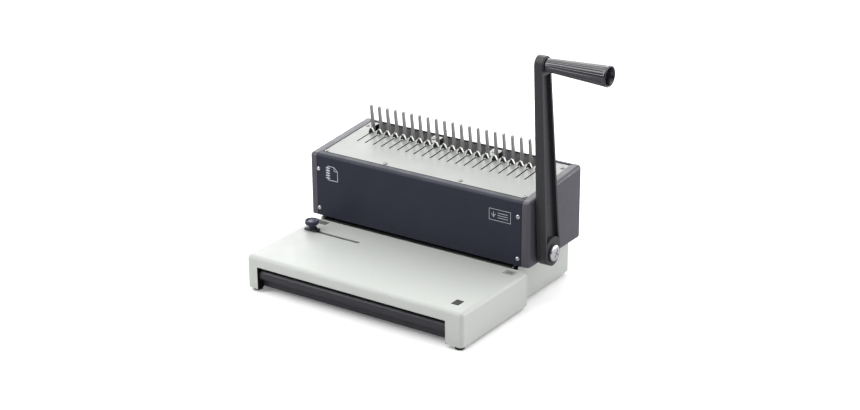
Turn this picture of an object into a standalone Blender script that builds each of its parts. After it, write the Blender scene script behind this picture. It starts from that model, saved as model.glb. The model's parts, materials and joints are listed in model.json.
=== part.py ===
"""Comb binding machine with a punch-and-open lever, a comb finger rail and a chip tray.

The machine frame has its X = 0 at the middle comb finger, its Y = 0 at the front of the housing
and its Z = 0 on the table that the feet stand on. Everything hangs on one empty, which moves that
frame so that the world origin is at the middle of the machine's footprint. Lengths are in
millimetres and are scaled to metres where a mesh is made.
"""
from math import atan2, cos, degrees, hypot, pi, radians, sin, tan

import bmesh
import bpy
from mathutils import Matrix, Vector

MM = 0.001
GAP = 0.3                       # left between pieces that touch

# Comb: twenty-one rings at 9/16 inch
COMB_PITCH = 14.2875
COMB_COUNT = 21
COMB_X = [(i - COMB_COUNT // 2) * COMB_PITCH for i in range(COMB_COUNT)]

# Base cover with its two arms and the document table between them
ARM_LEFT, ARM_RIGHT = -170.0, 190.0
ARM_INNER_LEFT, ARM_INNER_RIGHT = -151.0, 163.0
ARM_FRONT, ARM_REAR = -165.0, -4.0
ARM_BOTTOM, TABLE_TOP = 5.0, 54.5
TABLE_WALL = 2.6
LIP_BOTTOM = 38.5
COVER_ROUND = 6.5

# Rear base, under the housing
BASE_LEFT, BASE_RIGHT = -162.0, 177.0
BASE_FRONT, BASE_REAR = -3.4, 132.0
BASE_WALL, BASE_ROUND = 2.5, 4.0

# Housing of the punch
HOUSING_LEFT, HOUSING_RIGHT = -181.3, 189.5
HOUSING_REAR = 140.6
HOUSING_BOTTOM, HOUSING_TOP_FRONT, HOUSING_TOP_REAR = 58.6, 153.1, 166.16
TOP_TILT = atan2(HOUSING_TOP_REAR - HOUSING_TOP_FRONT, HOUSING_REAR)
TOP_LENGTH = HOUSING_REAR / cos(TOP_TILT)
SHEET = 1.6
CAP_WALL = 2.5
HOUSING_ROUND = 5.0
SEAM_LEFT, SEAM_RIGHT = -169.5, 177.6
SEAM = 0.7                      # width of the joint line between an end cap and the bent sheets
RIM_FRONT, RIM_REAR = 10.7, 8.3

# Top plate, in the tilted frame: S runs up the slope to the rear, N is its normal
PLATE_LEFT, PLATE_RIGHT = -166.3, 175.7
PLATE_FRONT, PLATE_REAR, PLATE_COMB_REAR = 11.1, 131.4, 109.0
PLATE_BOTTOM, PLATE_TOP = -2.5, -1.0
TROUGH_END = 150.0              # the comb trough reaches this far to each side
SLOT_FRONT, SLOT_WIDTH = 63.4, 2.2
POCKET_FRONT, POCKET_WIDTH = 97.2, 7.6
TABS = ((-52.5, -37.0), (49.4, 65.0))   # left and right edge of each screw tab

# Hooks and fingers, in the tilted frame
HOOK_FRONT, HOOK_REAR = 98.3, 101.3
HOOK_TRAVEL = 33.0
FINGER_FRONT, FINGER_BASE, FINGER_TIP = 101.9, 6.2, 3.8
FINGER_TOP, FINGER_THICK = 41.5, 2.8
RAIL_BOTTOM, RAIL_TOP = -9.0, -3.8

# Lever, its pivot and the shafts
PIVOT_Y, PIVOT_Z = 34.5, 74.0
PIVOT_ROUND = 18.3
LEVER_TOP_Y, LEVER_TOP_Z, LEVER_TOP_ROUND = 14.4, 347.3, 11.6
LEVER_INNER, LEVER_THICK, LEVER_TOP_THICK = 192.5, 15.2, 12.3
LEVER_LEAN = 1.2                # the top of the lever's inner face lies this far inwards
BOLT_BOSS, HEAD_FLANGE = 1.8, 1.5
GRIP_END, GRIP_ROOT_R, GRIP_END_R = 298.0, 9.2, 14.4
TUBE_R, TUBE_BORE = 6.0, 4.2
ROD_R = 3.8
PUNCH_ANGLE, OPEN_ANGLE = 80.0, 60.0

# Punch
PUNCH_Y, PUNCH_W, PUNCH_T = 9.5, 8.0, 2.8
PUNCH_STROKE = 7.0
PUNCH_TIP = 59.5
ECCENTRIC_R = 11.5
ECCENTRIC = PUNCH_STROKE / (2 * sin(radians(PUNCH_ANGLE / 2)))
YOKE_X = (-110.0, 110.0)
FRAME_LEFT, FRAME_RIGHT, FRAME_T = -158.7, 165.0, 2.0

# Opener linkage: the crank's pin pushes the rocker, whose slot drives the hook rail's pin
CRANK_R, PIN_R = 22.0, 2.4
RAIL_PIN_N = -15.5              # the pin hangs this far under the top of the housing
RAIL_PIN_Z = HOUSING_TOP_FRONT + PIVOT_Y * tan(TOP_TILT) + RAIL_PIN_N / cos(TOP_TILT)
LINK_RISE = CRANK_R * cos(radians(OPEN_ANGLE / 2))
LINK_GAIN = HOOK_TRAVEL / (2 * CRANK_R * sin(radians(OPEN_ANGLE / 2)))
ROCKER_Z = (RAIL_PIN_Z + LINK_GAIN * (PIVOT_Z + LINK_RISE)) / (1 + LINK_GAIN)
ROCKER_ANGLE = atan2(HOOK_TRAVEL / 2, RAIL_PIN_Z - ROCKER_Z)

ORIGIN_X = -(HOUSING_LEFT + GRIP_END) / 2
ORIGIN_Y = -(ARM_FRONT + HOUSING_REAR) / 2


# ---------------------------------------------------------------- scene, materials, helpers

for old in list(bpy.data.objects):
    bpy.data.objects.remove(old, do_unlink=True)

parts = bpy.data.collections.new("comb_binding_machine")
cutters = bpy.data.collections.new("comb_binding_machine_cutters")
for group in (parts, cutters):
    bpy.context.scene.collection.children.link(group)


def empty(name, parent=None, location=(0, 0, 0), tilt=0.0):
    frame = bpy.data.objects.new(name, None)
    frame.parent = parent
    frame.location = Vector(location) * MM
    frame.rotation_euler.x = tilt
    parts.objects.link(frame)
    return frame


machine = empty("machine_frame", location=(ORIGIN_X, ORIGIN_Y, 0))
top_frame = empty("top_frame", machine, (0, 0, HOUSING_TOP_FRONT), TOP_TILT)


def material(name, colour, roughness, metallic=0.0):
    made = bpy.data.materials.get(name)
    if made is None:
        made = bpy.data.materials.new(name)
        made.use_nodes = True
        shader = made.node_tree.nodes["Principled BSDF"]
        shader.inputs["Base Color"].default_value = (*colour, 1.0)
        shader.inputs["Roughness"].default_value = roughness
        shader.inputs["Metallic"].default_value = metallic
    return made


def cover_grey():
    return material("cover_grey_plastic", (0.62, 0.64, 0.62), 0.45)


def housing_paint():
    return material("housing_dark_paint", (0.035, 0.038, 0.06), 0.5)


def lever_plastic():
    return material("lever_dark_plastic", (0.045, 0.042, 0.055), 0.42)


def black_plastic():
    return material("black_plastic", (0.02, 0.02, 0.022), 0.5)


def knob_plastic():
    return material("knob_navy_plastic", (0.06, 0.065, 0.16), 0.4)


def rubber():
    return material("black_rubber", (0.015, 0.015, 0.015), 0.85)


def steel():
    return material("bright_steel", (0.55, 0.55, 0.55), 0.35, 1.0)


def plate_steel():
    return material("satin_plate_steel", (0.66, 0.68, 0.66), 0.4, 0.6)


def chrome():
    return material("chrome", (0.8, 0.8, 0.8), 0.12, 1.0)


def bronze():
    return material("sintered_bronze", (0.5, 0.33, 0.16), 0.5, 1.0)


def add_object(name, mesh, paint, origin=(0, 0, 0), parent=None, group=parts):
    """Link a mesh made in the parent's frame, with its origin moved to the given point."""
    mesh.transform(Matrix.Translation(-Vector(origin)))
    mesh.transform(Matrix.Scale(MM, 4))
    made = bpy.data.objects.new(name, mesh)
    made.parent = parent or machine
    made.location = Vector(origin) * MM
    group.objects.link(made)
    if group is cutters:
        made.hide_render = True
        made.display_type = "WIRE"
    else:
        mesh.materials.append(paint)
        mesh.shade_smooth()
        mesh.set_sharp_from_angle(angle=radians(35))
    return made


def box_mesh(name, low, high, round_edges=None, radius=0.0, segments=4):
    """A box between two corners. round_edges(low, high, edge) picks the edges to round."""
    low, high = Vector(low), Vector(high)
    bm = bmesh.new()
    bmesh.ops.create_cube(bm, size=1.0)
    for vert in bm.verts:
        vert.co = (low + high) / 2 + Vector(a * b for a, b in zip(vert.co, high - low))
    if round_edges:
        picked = [edge for edge in bm.edges if round_edges(edge)]
        bmesh.ops.bevel(bm, geom=picked, offset=radius, segments=segments, profile=0.5,
                        affect="EDGES")
    mesh = bpy.data.meshes.new(name)
    bm.to_mesh(mesh)
    bm.free()
    return mesh


def any_edge(edge):
    return True


def upright_or_top(top, rear):
    """Picks the vertical edges and the edges at height top, but none on the rear face."""
    def pick(edge):
        a, b = (vert.co for vert in edge.verts)
        on_rear = abs(a.y - rear) < 1e-4 and abs(b.y - rear) < 1e-4
        return not on_rear and (abs(a.z - b.z) > 1e-4 or abs(a.z - top) < 1e-4)
    return pick


def box(name, low, high, paint=None, parent=None, group=parts, origin=None, rounding=0.0):
    mesh = box_mesh(name, low, high, any_edge if rounding else None, rounding, 2)
    centre = (Vector(low) + Vector(high)) / 2
    return add_object(name, mesh, paint, centre if origin is None else origin, parent, group)


def arc(u, v, radius, start, stop, steps):
    """Points on an arc, with its angles in degrees from +U towards +V."""
    span = [radians(start + (stop - start) * i / steps) for i in range(steps + 1)]
    return [(u + radius * cos(t), v + radius * sin(t)) for t in span]


def circle(u, v, radius, steps=24):
    return arc(u, v, radius, 0, 360, steps)[:-1]


def rect(u0, v0, u1, v1):
    return [(u0, v0), (u1, v0), (u1, v1), (u0, v1)]


def round_rect(u0, v0, u1, v1, radius, steps=4):
    return (arc(u1 - radius, v1 - radius, radius, 0, 90, steps)
            + arc(u0 + radius, v1 - radius, radius, 90, 180, steps)
            + arc(u0 + radius, v0 + radius, radius, 180, 270, steps)
            + arc(u1 - radius, v0 + radius, radius, 270, 360, steps))


def bar_between(a, radius_a, b, radius_b, steps=8):
    """Outline of two round ends joined by their common tangents."""
    along = Vector((b[0] - a[0], b[1] - a[1]))
    heading = degrees(atan2(along.y, along.x))
    lean = 90 - degrees(atan2((radius_a - radius_b) / along.length, 1))
    return (arc(*a, radius_a, heading + lean, heading + 360 - lean, steps * 2)
            + arc(*b, radius_b, heading - lean, heading + lean, steps))


PLANES = {
    "XY": Matrix.Identity(4),
    "YZ": Matrix(((0, 0, 1, 0), (1, 0, 0, 0), (0, 1, 0, 0), (0, 0, 0, 1))),
    "XZ": Matrix(((1, 0, 0, 0), (0, 0, -1, 0), (0, 1, 0, 0), (0, 0, 0, 1))),
}


def flat_mesh(name, loops, plane, start, stop):
    """A flat outline with holes, between start and stop along the plane's third axis."""
    curve = bpy.data.curves.new(name, "CURVE")
    curve.dimensions = "2D"
    curve.fill_mode = "BOTH"
    curve.extrude = (stop - start) / 2
    for loop in loops:
        spline = curve.splines.new("POLY")
        spline.points.add(len(loop) - 1)
        for point, (u, v) in zip(spline.points, loop):
            point.co = (u, v, 0, 1)
        spline.use_cyclic_u = True
    drawn = bpy.data.objects.new(name, curve)
    bpy.context.scene.collection.objects.link(drawn)
    evaluated = drawn.evaluated_get(bpy.context.evaluated_depsgraph_get())
    mesh = bpy.data.meshes.new_from_object(evaluated)
    bpy.data.objects.remove(drawn, do_unlink=True)
    bm = bmesh.new()
    bm.from_mesh(mesh)
    bmesh.ops.remove_doubles(bm, verts=bm.verts, dist=1e-4)
    bmesh.ops.recalc_face_normals(bm, faces=bm.faces)
    bm.to_mesh(mesh)
    bm.free()
    mesh.materials.clear()
    mesh.transform(PLANES[plane])
    middle = (start + stop) / 2
    shift = {"XY": (0, 0, middle), "YZ": (middle, 0, 0), "XZ": (0, middle, 0)}[plane]
    mesh.transform(Matrix.Translation(Vector(shift)))
    return mesh


def flat(name, loops, plane, start, stop, paint=None, parent=None, group=parts, origin=(0, 0, 0)):
    mesh = flat_mesh(name, loops, plane, start, stop)
    return add_object(name, mesh, paint, origin, parent, group)


def turned(name, profile, centre, axis, paint, steps=24):
    """A lathe shape: profile points are (radius, distance along the axis), outer side top down."""
    curve = bpy.data.meshes.new(name)
    points = [(radius * MM, 0, along * MM) for radius, along in profile]
    links = [(i, i + 1) for i in range(len(points) - 1)]
    if min(profile[0][0], profile[-1][0]) > 0:
        links.append((len(points) - 1, 0))
    curve.from_pydata(points, links, [])
    curve.materials.append(paint)
    made = bpy.data.objects.new(name, curve)
    made.parent = machine
    made.location = Vector(centre) * MM
    made.rotation_euler = {"Z": (0, 0, 0), "X": (0, pi / 2, 0)}[axis]
    parts.objects.link(made)
    screw = made.modifiers.new("turn", "SCREW")
    screw.steps = screw.render_steps = steps
    screw.use_merge_vertices = True
    screw.merge_threshold = 1e-6
    screw.use_smooth_shade = True
    return made


def combine(target, other, operation):
    """Cut another shape out of the target, or join it on."""
    change = target.modifiers.new(operation.lower(), "BOOLEAN")
    change.operation = operation
    change.object = other
    change.solver = "EXACT"


def cut(target, *others):
    for other in others:
        combine(target, other, "DIFFERENCE")


def join(target, *others):
    for other in others:
        combine(target, other, "UNION")


def cut_box(target, low, high, parent=None):
    name = f"cut_{target.name}_{len(target.modifiers)}"
    cut(target, box(name, low, high, parent=parent, group=cutters))


def prism_row(name, outline, plane, start, stop, parent):
    """One prism at each comb place, all in one mesh; the outline is drawn about X = 0."""
    bm = bmesh.new()
    for x in COMB_X:
        piece = flat_mesh(name, [outline], plane, start, stop)
        piece.transform(Matrix.Translation(Vector((x, 0, 0))))
        bm.from_mesh(piece)
        bpy.data.meshes.remove(piece)
    mesh = bpy.data.meshes.new(name)
    bm.to_mesh(mesh)
    bm.free()
    return add_object(name, mesh, None, parent=parent, group=cutters)


# ---------------------------------------------------------------- base

GUIDE_X, GUIDE_Y = -145.5, -45.5
GUIDE_TRAVEL = 80.0
RELEASE = (158.3, -144.0, 169.7, -129.0)
INLAYS = {"left": (-160.5, -20.0, -142.0, -8.0), "right": (162.0, -24.0, 177.6, -9.5)}
INLAY_DEPTH = 1.3


def base_cover():
    mesh = box_mesh("base_cover", (ARM_LEFT, ARM_FRONT, ARM_BOTTOM),
                    (ARM_RIGHT, ARM_REAR, TABLE_TOP), upright_or_top(TABLE_TOP, ARM_REAR),
                    COVER_ROUND)
    cover = add_object("base_cover", mesh, cover_grey())
    roof = TABLE_TOP - TABLE_WALL
    cut_box(cover, (ARM_INNER_LEFT, ARM_FRONT - 5, 0), (ARM_INNER_RIGHT, ARM_REAR + 5, LIP_BOTTOM))
    cut_box(cover, (ARM_INNER_LEFT, ARM_FRONT + TABLE_WALL, LIP_BOTTOM - 1),
            (ARM_INNER_RIGHT, ARM_REAR + 5, roof))
    foot_block = ARM_FRONT + 24
    cut_box(cover, (ARM_LEFT + TABLE_WALL, foot_block, 0),
            (ARM_INNER_LEFT - TABLE_WALL, ARM_REAR - TABLE_WALL, roof))
    cut_box(cover, (ARM_INNER_RIGHT + TABLE_WALL, foot_block, 0),
            (ARM_RIGHT - TABLE_WALL, ARM_REAR - TABLE_WALL, roof))
    slot = (GUIDE_X - 3.2, GUIDE_Y - 3, 40), (GUIDE_X + GUIDE_TRAVEL + 3.2, GUIDE_Y + 3, 60)
    cut_box(cover, *slot)
    x0, y0, x1, y1 = RELEASE
    cut_box(cover, (x0, y0, 42), (x1, y1, 60))
    for x0, y0, x1, y1 in INLAYS.values():
        cut_box(cover, (x0, y0, TABLE_TOP - INLAY_DEPTH), (x1, y1, 60))


def inlays():
    for side, (x0, y0, x1, y1) in INLAYS.items():
        box(f"scale_inlay_{side}", (x0 + GAP, y0 + GAP, TABLE_TOP - INLAY_DEPTH + GAP),
            (x1 - GAP, y1 - GAP, TABLE_TOP - 0.2), lever_plastic())


def tray_release():
    x0, y0, x1, y1 = RELEASE
    box("tray_release_button", (x0 + GAP, y0 + GAP, 47), (x1 - GAP, y1 - GAP, TABLE_TOP + 0.6),
        black_plastic(), rounding=0.8)


def rear_base():
    left, right, rear = BASE_LEFT + BASE_ROUND, BASE_RIGHT - BASE_ROUND, BASE_REAR - BASE_ROUND
    outer = arc(left, rear, BASE_ROUND, 180, 90, 4) + arc(right, rear, BASE_ROUND, 90, 0, 4)
    inset = BASE_ROUND - BASE_WALL
    inner = arc(right, rear, inset, 0, 90, 4) + arc(left, rear, inset, 90, 180, 4)
    outline = [(BASE_LEFT, BASE_FRONT), *outer, (BASE_RIGHT, BASE_FRONT),
               (BASE_RIGHT - BASE_WALL, BASE_FRONT), *inner, (BASE_LEFT + BASE_WALL, BASE_FRONT)]
    flat("rear_base", [outline], "XY", ARM_BOTTOM, HOUSING_BOTTOM - 0.4, cover_grey())


def bottom_pan():
    front_left, front_right = ARM_INNER_LEFT + 0.4, ARM_INNER_RIGHT - 0.4
    back_left, back_right = BASE_LEFT + BASE_WALL + 0.4, BASE_RIGHT - BASE_WALL - 0.4
    step, rear = BASE_FRONT + 0.6, BASE_REAR - BASE_WALL - 3.0
    outline = [(front_left, -120), (front_right, -120), (front_right, step), (back_right, step),
               (back_right, rear), (back_left, rear), (back_left, step), (front_left, step)]
    flat("bottom_pan", [outline], "XY", ARM_BOTTOM + 0.2, ARM_BOTTOM + 1.6, steel())


FEET = {"front_left": (-160.5, -153), "front_right": (180.5, -156.0),
        "rear_left": (-149.0, 108.0), "rear_right": (161.0, 108.0)}


def feet():
    for place, (x, y) in FEET.items():
        turned(f"foot_{place}", [(0, 4.7), (6.2, 4.7), (7.0, 3.9), (7.0, 0.8), (6.2, 0), (0, 0)],
               (x, y, 0), "Z", rubber(), 16)


TRAY_FRONT, TRAY_REAR = -153.0, 45.0
TRAY_FRONT_TOP, TRAY_WALL_TOP = 33.0, 30.0
BAR_ROUND, BAR_Y = 6.4, -155.0  # the bar across the tray's front: its roundings and their centre


def chip_tray():
    left, right = ARM_INNER_LEFT + 0.8, ARM_INNER_RIGHT - 0.8
    tray = box("chip_tray", (left, TRAY_FRONT, 7), (right, TRAY_REAR, TRAY_FRONT_TOP),
               black_plastic())
    cut_box(tray, (left + 1.6, TRAY_FRONT + 2.2, 8.6), (right - 1.6, TRAY_REAR - 1.6, 50))
    cut_box(tray, (left - 5, TRAY_FRONT + 2.3, TRAY_WALL_TOP), (right + 5, TRAY_REAR + 5, 50))
    back = TRAY_FRONT - GAP
    low = 17.2
    nose = (arc(BAR_Y, TRAY_FRONT_TOP - BAR_ROUND, BAR_ROUND, 90, 180, 5)
            + arc(BAR_Y, low + BAR_ROUND, BAR_ROUND, 180, 270, 5)
            + [(back, low), (back, TRAY_FRONT_TOP)])
    flat("tray_front", [nose], "YZ", left, right, black_plastic())


def edge_guide():
    x, y = GUIDE_X, GUIDE_Y
    guide = box("edge_guide", (x - 10.8, y - 5.4, TABLE_TOP + GAP),
                (x + 10.8, y + 5.4, TABLE_TOP + 3.2), black_plastic(), rounding=0.7)
    stem = box("cut_guide_stem", (x - 2.6, y - 2.5, TABLE_TOP - TABLE_WALL - 2),
               (x + 2.6, y + 2.5, TABLE_TOP + 1), group=cutters)
    below = TABLE_TOP - TABLE_WALL - 0.4
    foot = box("cut_guide_foot", (x - 1.8, y - 6, below - 2), (x + 7, y + 6, below), group=cutters)
    join(guide, stem, foot)
    base = TABLE_TOP + 3.2 + GAP
    profile = [(0, 11.0), (6.8, 11.0), (8.2, 12.6), (9.5, 12.6), (10.2, 11.9), (10.2, 7.4),
               (9.4, 6.4), (5.4, 5.2), (5.2, 1.6), (7.0, 1.2), (7.0, 0), (0, 0)]
    turned("edge_guide_knob", profile, (x, y, base), "Z", knob_plastic(), 24)


# ---------------------------------------------------------------- mechanism frame

def frame_sides():
    hole = circle(PIVOT_Y, PIVOT_Z, 8.3)
    slope = tan(TOP_TILT)
    top = HOUSING_TOP_FRONT - 4.5
    outline = [(-2.8, 6.9), (118, 6.9), (118, top + 118 * slope), (3, top + 3 * slope), (3, 56.5),
               (-2.8, 56.5)]
    window = round_rect(62, 40, 106, 130, 8, 3)
    for side, x in (("left", FRAME_LEFT), ("right", FRAME_RIGHT)):
        flat(f"frame_side_{side}", [outline, hole, window], "YZ", x, x + FRAME_T, steel())


FRAME_IN_LEFT, FRAME_IN_RIGHT = FRAME_LEFT + FRAME_T + GAP, FRAME_RIGHT - GAP


def tie_bar():
    flat("frame_tie_bar", [circle(112, 140, 4, 12)], "YZ", FRAME_IN_LEFT, FRAME_IN_RIGHT, steel())


def punched_strip(name, y0, y1, z0, z1, clearance):
    """A plate with one punch hole at each comb place."""
    w, t = PUNCH_W / 2 + clearance, PUNCH_T / 2 + clearance
    holes = [rect(x - w, PUNCH_Y - t, x + w, PUNCH_Y + t) for x in COMB_X]
    flat(name, [rect(FRAME_IN_LEFT, y0, FRAME_IN_RIGHT, y1)] + holes, "XY", z0, z1, steel())


def die_and_guide():
    punched_strip("die_plate", ARM_REAR + 0.6, 13.0, TABLE_TOP - 4.3, TABLE_TOP - 0.3, 0.15)
    punched_strip("punch_guide", 2.2, 12.2, HOUSING_BOTTOM + GAP, HOUSING_BOTTOM + 4.3, 0.25)


def bearings():
    for side, sign, x, bore in (("left", 1, FRAME_IN_LEFT, ROD_R + 0.4),
                                ("right", -1, FRAME_IN_RIGHT, TUBE_R + 0.4)):
        near, far = x + sign * 1.5, x - sign * 5.0
        profile = [(8.0, far), (8.0, x), (11.0, x), (11.0, near), (bore, near), (bore, far)]
        if sign > 0:
            profile.reverse()
        turned(f"shaft_bearing_{side}", profile, (0, PIVOT_Y, PIVOT_Z), "X", bronze(), 24)


# ---------------------------------------------------------------- housing

def housing_outline(inset=0.0):
    """Side view of the housing, inset all round."""
    slope = tan(TOP_TILT)
    top = HOUSING_TOP_FRONT - inset / cos(TOP_TILT)
    front, rear = inset, HOUSING_REAR - inset
    return [(front, HOUSING_BOTTOM), (rear, HOUSING_BOTTOM), (rear, top + rear * slope),
            (front, top + front * slope)]


def end_cap(side, low, high, outer_sign):
    mesh = flat_mesh("cap", [housing_outline()], "YZ", low, high)
    bm = bmesh.new()
    bm.from_mesh(mesh)
    outer = low if outer_sign < 0 else high
    sharp = [edge for edge in bm.edges if len(edge.link_faces) == 2 and edge.calc_face_angle(0) > 0.5]
    picked = []
    for edge in sharp:
        a, b = (vert.co for vert in edge.verts)
        on_outer_face = abs(a.x - outer) < 1e-3 and abs(b.x - outer) < 1e-3
        across_the_top = abs(a.x - b.x) > 1
        at_the_bottom = max(a.z, b.z) < HOUSING_BOTTOM + 1
        if not at_the_bottom and (on_outer_face or across_the_top):
            picked.append(edge)
    bmesh.ops.bevel(bm, geom=picked, offset=HOUSING_ROUND, segments=4, profile=0.5,
                    affect="EDGES")
    bm.to_mesh(mesh)
    bm.free()
    cap = add_object(f"end_cap_{side}", mesh, housing_paint())
    inner = housing_outline(CAP_WALL)
    inner[0] = (inner[0][0], HOUSING_BOTTOM - 5)
    inner[1] = (inner[1][0], HOUSING_BOTTOM - 5)
    span = (low + CAP_WALL, high + 5) if outer_sign < 0 else (low - 5, high - CAP_WALL)
    cut(cap, flat(f"cut_cap_{side}", [inner], "YZ", *span, group=cutters))
    return cap


def end_caps():
    left = end_cap("left", HOUSING_LEFT, SEAM_LEFT, -1)
    right = end_cap("right", SEAM_RIGHT, HOUSING_RIGHT, 1)
    ledges = (left, SEAM_LEFT - 4, PLATE_LEFT - GAP), (right, PLATE_RIGHT + GAP, SEAM_RIGHT + 4)
    for cap, low, high in ledges:
        join(cap, box(f"cut_ledge_{cap.name}", (low, RIM_FRONT + 0.4, -CAP_WALL + 0.1),
                      (high, TOP_LENGTH - RIM_REAR - 0.4, -0.05), parent=top_frame, group=cutters))
    shaft_hole = [circle(PIVOT_Y, PIVOT_Z, 8.5)]
    cut(right, flat("cut_cap_shaft", shaft_hole, "YZ", 180, 200, group=cutters))


PANEL_SCREWS = {"upper_left": (-166.0, 130.5), "lower_left": (-166.0, 70.0),
                "upper_right": (171.8, 130.5), "lower_right": (171.8, 69.0)}


def bent_sheet(corner, upright_end, flange_end, turn_start, turn_stop, radius):
    """Side view of a sheet folded once: an upright leg, a round bend and a flange."""
    cu, cv = corner
    outside = arc(cu, cv, radius, turn_start, turn_stop, 5)
    inside = arc(cu, cv, radius - SHEET, turn_stop, turn_start, 5)
    return [upright_end[0], *outside, flange_end[0], flange_end[1], *inside, upright_end[1]]


def housing_front():
    slope, bend = tan(TOP_TILT), HOUSING_ROUND
    tilt = degrees(TOP_TILT)
    cu, cv = bend, HOUSING_TOP_FRONT - bend / cos(TOP_TILT) + bend * slope
    flange = RIM_FRONT * cos(TOP_TILT)
    at_flange = HOUSING_TOP_FRONT + flange * slope
    outline = bent_sheet((cu, cv), ((0, HOUSING_BOTTOM), (SHEET, HOUSING_BOTTOM)),
                         ((flange, at_flange), (flange + SHEET * sin(TOP_TILT), at_flange - SHEET)),
                         180, 90 + tilt, bend)
    panel = flat("housing_front", [outline], "YZ", SEAM_LEFT + SEAM, SEAM_RIGHT - SEAM,
                 housing_paint())
    for place, (x, z) in PANEL_SCREWS.items():
        cut(panel, flat(f"cut_hole_{place}", [circle(x, z, 1.8, 12)], "XZ", -4, 6, group=cutters))


def housing_rear():
    slope, bend = tan(TOP_TILT), HOUSING_ROUND
    tilt = degrees(TOP_TILT)
    rear = HOUSING_REAR
    cu = rear - bend
    cv = HOUSING_TOP_FRONT - bend / cos(TOP_TILT) + cu * slope
    flange = (TOP_LENGTH - RIM_REAR) * cos(TOP_TILT)
    at_flange = HOUSING_TOP_FRONT + flange * slope
    outline = bent_sheet((cu, cv), ((rear, HOUSING_BOTTOM), (rear - SHEET, HOUSING_BOTTOM)),
                         ((flange, at_flange), (flange + SHEET * sin(TOP_TILT), at_flange - SHEET)),
                         0, 90 + tilt, bend)
    panel = flat("housing_rear", [outline], "YZ", SEAM_LEFT + SEAM, SEAM_RIGHT - SEAM,
                 housing_paint())
    cut_box(panel, (-TROUGH_END, TOP_LENGTH - RIM_REAR - 2, -8), (TROUGH_END, TOP_LENGTH - 4.6, 3),
            top_frame)


def housing_floor():
    inset = CAP_WALL + 0.4
    left, right, rear = HOUSING_LEFT + inset, HOUSING_RIGHT - inset, HOUSING_REAR - inset
    inner_left, inner_right, inner_rear = FRAME_LEFT - 0.6, FRAME_RIGHT + FRAME_T + 0.6, 119.0
    outline = [(left, 3), (left, rear), (right, rear), (right, 3), (inner_right, 3),
               (inner_right, inner_rear), (inner_left, inner_rear), (inner_left, 3)]
    flat("housing_floor", [outline], "XY", HOUSING_BOTTOM + 0.1, HOUSING_BOTTOM + 1.6,
         housing_paint())


PLATE_SCREWS = {"front_1": (-162.6, 15.3), "front_2": (-60.5, 18.7), "front_3": (66.0, 20.5),
                "front_4": (171.8, 18.0), "rear_1": (-161.5, 117.0), "rear_2": (-46.0, 121.0),
                "rear_3": (57.0, 121.5), "rear_4": (170.5, 119.5)}


def slot_edge(x, rear):
    """One finger's slot, from its rear right corner round its front to its rear left corner."""
    wide, narrow = POCKET_WIDTH / 2, SLOT_WIDTH / 2
    return [(x + wide, rear), (x + wide, POCKET_FRONT), (x + narrow, POCKET_FRONT - 2.0),
            *arc(x, SLOT_FRONT + narrow, narrow, 0, -180, 4),
            (x - narrow, POCKET_FRONT - 2.0), (x - wide, POCKET_FRONT), (x - wide, rear)]


def top_plate():
    """Its rear edge is open at every finger, but for the two that stand in a screw tab."""
    outline = [(PLATE_LEFT, PLATE_REAR), (PLATE_LEFT, PLATE_FRONT), (PLATE_RIGHT, PLATE_FRONT),
               (PLATE_RIGHT, PLATE_REAR), (TROUGH_END + 1.5, PLATE_REAR),
               (TROUGH_END + 1.5, PLATE_COMB_REAR)]
    holes = [circle(x, s, 1.8, 12) for x, s in PLATE_SCREWS.values()]
    for x in reversed(COMB_X):
        tabs = [(left, right) for left, right in TABS if left < x < right]
        for left, right in tabs:
            outline += [(right, PLATE_COMB_REAR), (right, PLATE_REAR), (left, PLATE_REAR),
                        (left, PLATE_COMB_REAR)]
            holes.append(slot_edge(x, PLATE_COMB_REAR - 0.4))
        if not tabs:
            outline += slot_edge(x, PLATE_COMB_REAR)
    outline += [(-TROUGH_END - 1.5, PLATE_COMB_REAR), (-TROUGH_END - 1.5, PLATE_REAR)]
    flat("top_plate", [outline] + holes, "XY", PLATE_BOTTOM, PLATE_TOP, plate_steel(), top_frame)


def comb_trough():
    rear = TOP_LENGTH - 4.8
    outline = [(113.6, -13.5), (rear - 11.0, -13.5), (rear, -2.2), (rear, -4.6),
               (rear - 10.0, -15.0), (113.6, -15.0)]
    flat("comb_trough", [outline], "YZ", -TROUGH_END + 0.5, TROUGH_END - 0.5, black_plastic(),
         top_frame)


def screw_profile():
    return [(0, 1.5), (2.0, 1.35), (3.0, 0.75), (3.2, 0.1), (1.4, 0.1), (1.4, -4.0), (0, -4.0)]


def screws():
    for place, (x, z) in PANEL_SCREWS.items():
        screw = turned(f"panel_screw_{place}", screw_profile(), (x, -0.2, z), "Z", chrome(), 16)
        screw.rotation_euler = (pi / 2, 0, 0)
    for place, (x, s) in PLATE_SCREWS.items():
        centre = (x, s, PLATE_TOP + 0.2)
        screw = turned(f"plate_screw_{place}", screw_profile(), centre, "Z", chrome(), 16)
        screw.parent = top_frame


# ---------------------------------------------------------------- comb fingers and hooks

def comb_fingers():
    rail = box("comb_fingers", (-TROUGH_END + 0.5, 102.4, -15), (TROUGH_END - 0.5, 113.2, -6),
               steel(), top_frame)
    front, base = FINGER_FRONT, FINGER_FRONT + FINGER_BASE
    tip = FINGER_FRONT + FINGER_TIP
    outline = [(front + 0.6, -10), (base, -10), (base, 2), (tip, FINGER_TOP - 1.4),
               (tip - 0.9, FINGER_TOP), (front + 0.9, FINGER_TOP), (front, FINGER_TOP - 1.4),
               (front, -4.6), (front + 0.6, -5.6)]
    half = FINGER_THICK / 2
    join(rail, prism_row("cut_finger_row", outline, "YZ", -half, half, top_frame))


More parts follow.
